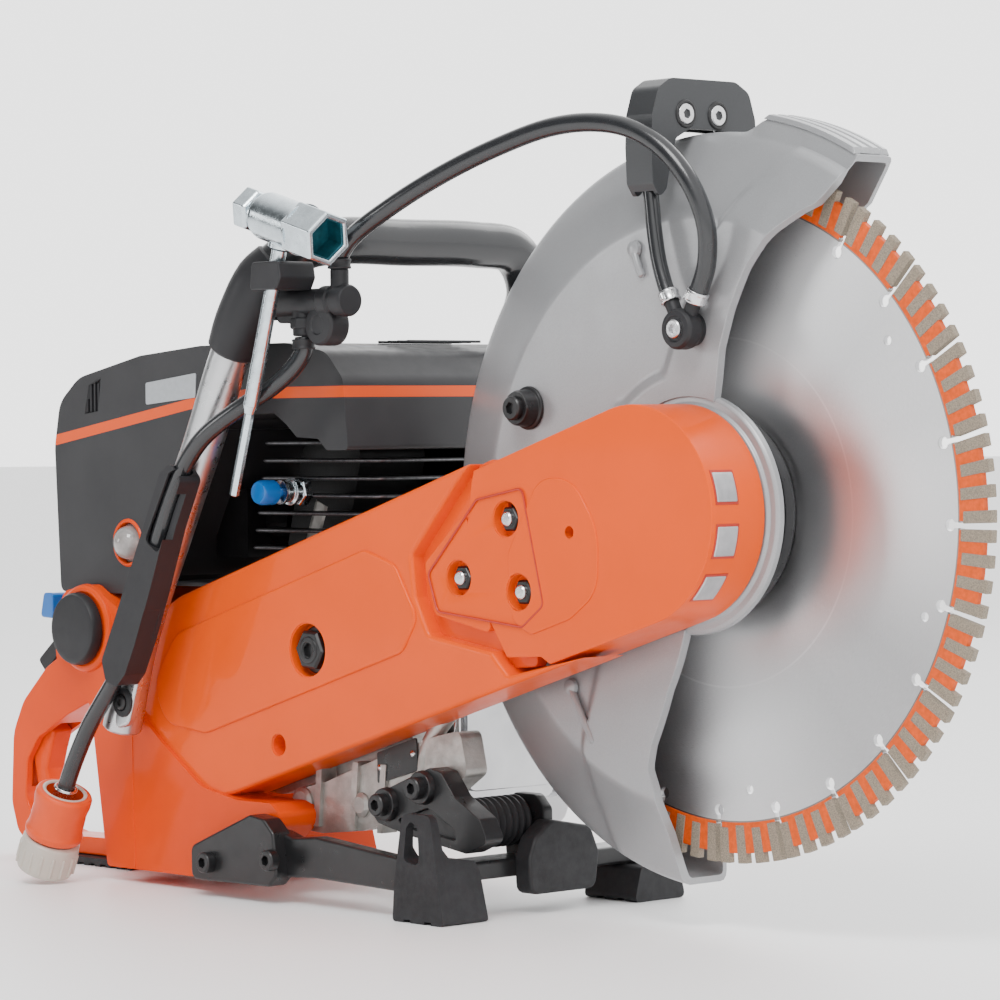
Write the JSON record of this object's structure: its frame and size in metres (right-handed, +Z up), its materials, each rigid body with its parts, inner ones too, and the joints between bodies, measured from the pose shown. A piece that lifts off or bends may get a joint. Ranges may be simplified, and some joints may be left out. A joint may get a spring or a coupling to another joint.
{
  "type": "hand-held concrete cut-off saw",
  "caption": "Hand-held petrol cut-off saw: diamond blade in a tilting guard, belt-drive arm, engine under a top cover, looped rear handle, front tube handle and wet-cutting hoses.",
  "frame": {"origin": "bottom centre of the saw's bounding box, on the ground plane, without its hoses", "axes": "+X forward to the blade end, +Y to the operator's left (away from the belt cover), +Z up"},
  "size_m": [0.861, 0.269, 0.487],
  "materials": {
    "orange_paint": "gloss",
    "orange_plastic": "gloss",
    "guard_metal": "satin",
    "cover_plastic": "textured",
    "black_metal": "satin",
    "casting": "sand cast",
    "steel": "ground",
    "blade_steel": "radially brushed",
    "zinc": "bright zinc",
    "blue_plastic": "gloss",
    "rubber": "matte",
    "hose": "gloss",
    "cream_plastic": "satin",
    "filter": "pleated",
    "aluminium_tube": "satin",
    "ceramic": "gloss",
    "muffler_steel": "polished"
  },
  "bodies": {
    "saw_body": {"cutting_arm": "casting", "spindle_bearing": "steel", "drive_belt": "rubber", "belt_cover_front": "orange_paint", "belt_cover_rear": "orange_paint", "crankcase_right": "casting", "crankcase_left": "casting", "cylinder": "black_metal", "spark_plug": "ceramic", "starter_housing": "orange_plastic", "decompression_valve": "zinc", "muffler": "muffler_steel", "carburettor": "casting", "air_filter": "filter", "top_cover": "cover_plastic", "fuel_tank": "orange_plastic", "side_plug": "cover_plastic", "rear_handle": "orange_plastic", "rear_foot": "rubber", "chassis_rail": "black_metal", "front_bracket": "black_metal", "isolator_spring": "black_metal", "front_foot_right": "rubber", "front_foot_left": "rubber", "front_handle": "aluminium_tube", "hose_guide": "cover_plastic", "water_valve": "cover_plastic", "water_hose": "hose", "supply_hose": "hose", "coupling_body": "cream_plastic"},
    "guard": {"blade_guard": "guard_metal", "guard_handle": "guard_metal", "water_nozzle_right": "cover_plastic", "water_nozzle_left": "cover_plastic", "crossover_hose": "hose"},
    "blade": {"cutting_blade": "blade_steel", "inner_flange": "black_metal", "outer_flange": "black_metal", "spindle": "steel", "arbor_bolt": "black_metal", "spindle_pulley": "steel"},
    "clutch_drum": {"drive_pulley": "steel"},
    "crankshaft": {"crankshaft_drive_half": "steel", "crankshaft_starter_half": "steel", "flywheel": "casting"},
    "piston": {"piston": "casting"},
    "connecting_rod": {"connecting_rod": "steel"},
    "throttle": {"throttle_trigger": "orange_plastic"},
    "lockout": {"throttle_lockout": "cover_plastic"},
    "choke": {"choke_lever": "blue_plastic"},
    "stop": {"stop_switch": "cover_plastic"},
    "primer": {"primer_bulb": "cover_plastic"},
    "decompression": {"decompression_button": "blue_plastic"},
    "starter": {"starter_handle": "cover_plastic"},
    "cap": {"fuel_cap": "cover_plastic"},
    "water_tap": {"valve_lever": "blue_plastic"},
    "wrench": {"combination_wrench": "zinc"},
    "tensioner": {"belt_tensioner": "black_metal"},
    "sleeve": {"coupling_sleeve": "orange_plastic"}
  },
  "joints": [
    {"name": "guard_tilt", "type": "hinge", "parent": "saw_body", "child": "guard", "pos_m": [0.23052, 0.00149, 0.24], "axis": [0, 1, 0], "range_deg": [-12, 40], "deforming": ["water_hose"]},
    {"name": "blade_spin", "type": "hinge", "parent": "saw_body", "child": "blade", "pos_m": [0.23052, 0.00149, 0.24], "axis": [0, 1, 0], "continuous": true},
    {"name": "clutch_drum_spin", "type": "hinge", "parent": "saw_body", "child": "clutch_drum", "pos_m": [-0.15009, 0.00149, 0.12364], "axis": [0, 1, 0], "continuous": true},
    {"name": "crankshaft_spin", "type": "hinge", "parent": "saw_body", "child": "crankshaft", "pos_m": [-0.15009, 0.00149, 0.12364], "axis": [0, 1, 0], "continuous": true},
    {"name": "piston_stroke", "type": "slide", "parent": "saw_body", "child": "piston", "axis": [0.3746, 0, 0.9272], "range_m": [-0.038, 0]},
    {"name": "rod_swing", "type": "hinge", "parent": "piston", "child": "connecting_rod", "pos_m": [-0.10851, 0.00849, 0.22655], "axis": [0, 1, 0], "range_deg": [-11.5, 11.5]},
    {"name": "throttle_squeeze", "type": "hinge", "parent": "saw_body", "child": "throttle", "pos_m": [-0.38248, -0.01751, 0.085], "axis": [0, 1, 0], "range_deg": [0, 12], "stiffness_Nm_per_rad": 0.6, "springref_deg": -14.32},
    {"name": "lockout_press", "type": "hinge", "parent": "saw_body", "child": "lockout", "pos_m": [-0.37348, -0.01751, 0.145], "axis": [0, 1, 0], "range_deg": [-8, 0], "stiffness_Nm_per_rad": 0.4, "springref_deg": 14.32},
    {"name": "choke_pull", "type": "slide", "parent": "saw_body", "child": "choke", "axis": [-1, 0, 0], "range_m": [0, 0.012]},
    {"name": "stop_slide", "type": "slide", "parent": "saw_body", "child": "stop", "axis": [0, 1, 0], "range_m": [0, 0.004]},
    {"name": "primer_press", "type": "slide", "parent": "saw_body", "child": "primer", "axis": [0, 1, 0], "range_m": [0, 0.005], "stiffness_N_per_m": 600, "springref_m": -0.002},
    {"name": "decompression_press", "type": "slide", "parent": "saw_body", "child": "decompression", "axis": [0, 1, 0], "range_m": [0, 0.004], "stiffness_N_per_m": 900, "springref_m": -0.002},
    {"name": "starter_pull", "type": "slide", "parent": "saw_body", "child": "starter", "axis": [0, 1, 0], "range_m": [0, 0.022], "stiffness_N_per_m": 250, "springref_m": -0.02},
    {"name": "cap_turn", "type": "hinge", "parent": "saw_body", "child": "cap", "pos_m": [-0.26948, 0.07649, 0.152], "axis": [0, 1, 0], "range_deg": [0, 90]},
    {"name": "tap_turn", "type": "hinge", "parent": "saw_body", "child": "water_tap", "pos_m": [-0.06948, -0.07251, 0.362], "axis": [0, 1, 0], "range_deg": [-55, 0]},
    {"name": "wrench_lift", "type": "slide", "parent": "saw_body", "child": "wrench", "axis": [0.302, 0, 0.9533], "range_m": [0, 0.04]},
    {"name": "tensioner_turn", "type": "hinge", "parent": "saw_body", "child": "tensioner", "pos_m": [-0.04585, -0.06851, 0.15551], "axis": [0, 1, 0], "range_deg": [-90, 90]},
    {"name": "sleeve_pull", "type": "slide", "parent": "saw_body", "child": "sleeve", "axis": [0.4251, 0, 0.9052], "range_m": [0, 0.005], "stiffness_N_per_m": 600, "springref_m": -0.003}
  ],
  "couplings": [
    {"joint": "clutch_drum_spin", "follows": "blade_spin", "ratio": 2}
  ]
}
